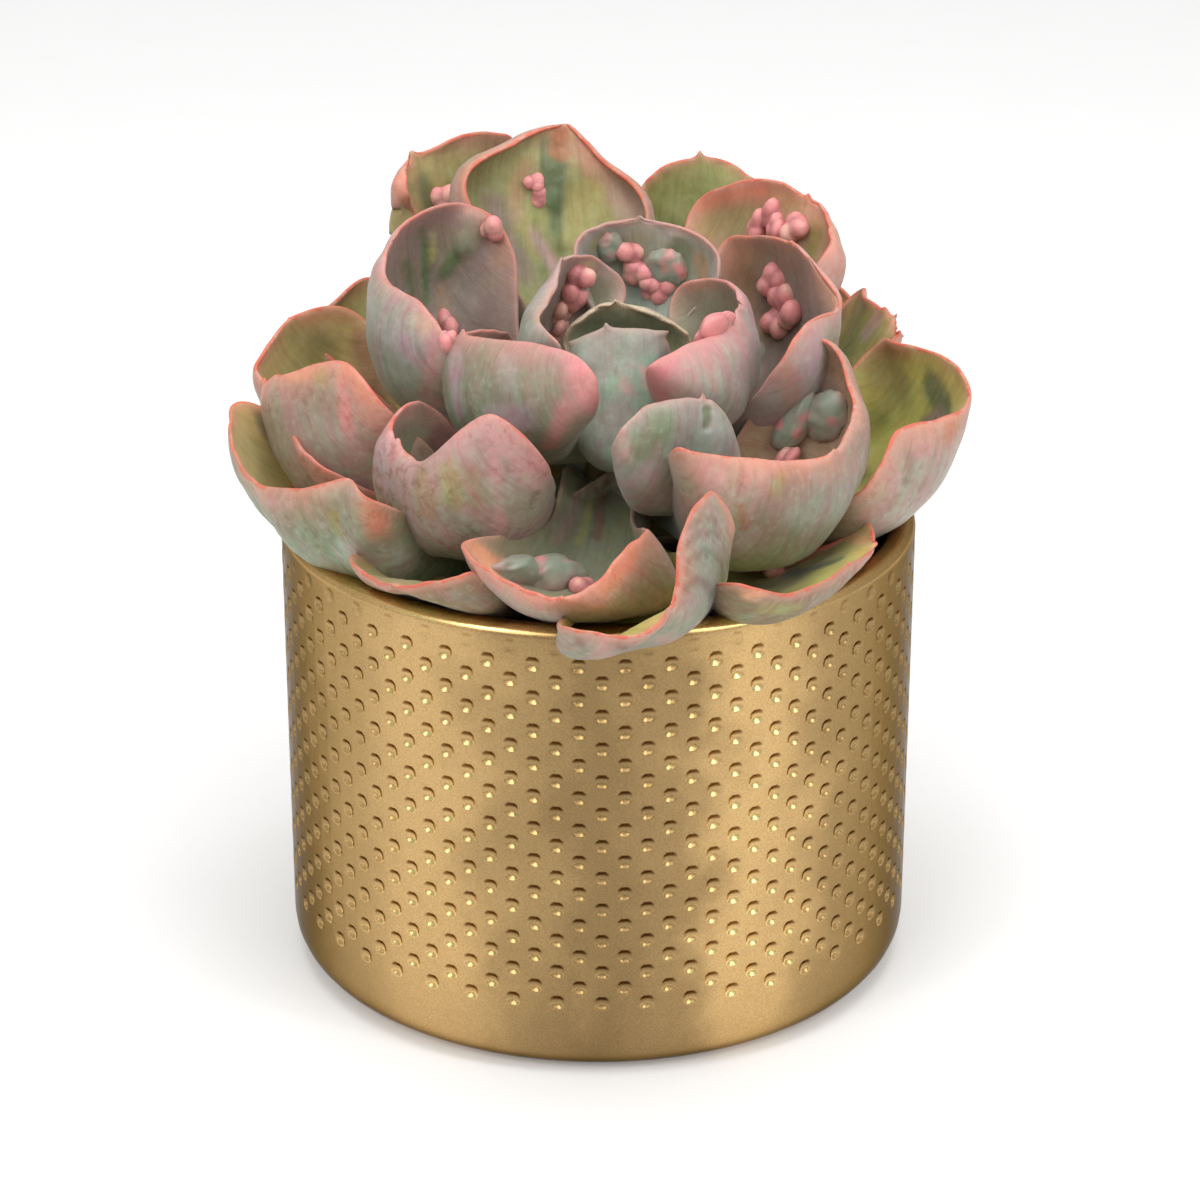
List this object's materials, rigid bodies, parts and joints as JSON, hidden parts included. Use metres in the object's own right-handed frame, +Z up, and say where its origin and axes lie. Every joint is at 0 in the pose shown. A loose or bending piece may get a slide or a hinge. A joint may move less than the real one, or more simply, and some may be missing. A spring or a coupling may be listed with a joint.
{
  "type": "potted cleopatra echeveria",
  "caption": "Rosette succulent with thick, cupped, ruffled leaves that carry pink growths, in a round studded gold pot filled with soil.",
  "frame": {"origin": "centre of the pot's flat foot", "axes": "+Z up along the pot's axis, -Y towards the front of the picture, +X to its right"},
  "size_m": [0.1606, 0.1731, 0.1772],
  "materials": {
    "glaze": "satin gold glaze",
    "soil": "dark damp peat and bark",
    "stem": "dull brown green skin",
    "leaf": "powdery grey green flushed with pink, with coral margins"
  },
  "bodies": {
    "root": {"pot": "glaze", "soil": "soil", "stem": "stem", "back_left": "leaf", "back_left_top": "leaf", "back_right": "leaf", "back_right_2": "leaf", "behind_left": "leaf", "behind_mid_left": "leaf", "behind_mid_right": "leaf", "behind_right": "leaf", "far_left": "leaf", "far_left_low": "leaf", "far_left_mid": "leaf", "far_right": "leaf", "far_right_back": "leaf", "front_curl": "leaf", "heart_front": "leaf", "heart_hood": "leaf", "inner_back": "leaf", "inner_left": "leaf", "inner_right": "leaf", "left": "leaf", "left_front": "leaf", "low_behind": "leaf", "low_behind_left": "leaf", "low_behind_right": "leaf", "low_front": "leaf", "low_left": "leaf", "low_left_front": "leaf", "low_right": "leaf", "low_right_front": "leaf", "mid_front": "leaf", "mid_left_front": "leaf", "right": "leaf", "right_front": "leaf"}
  },
  "joints": []
}
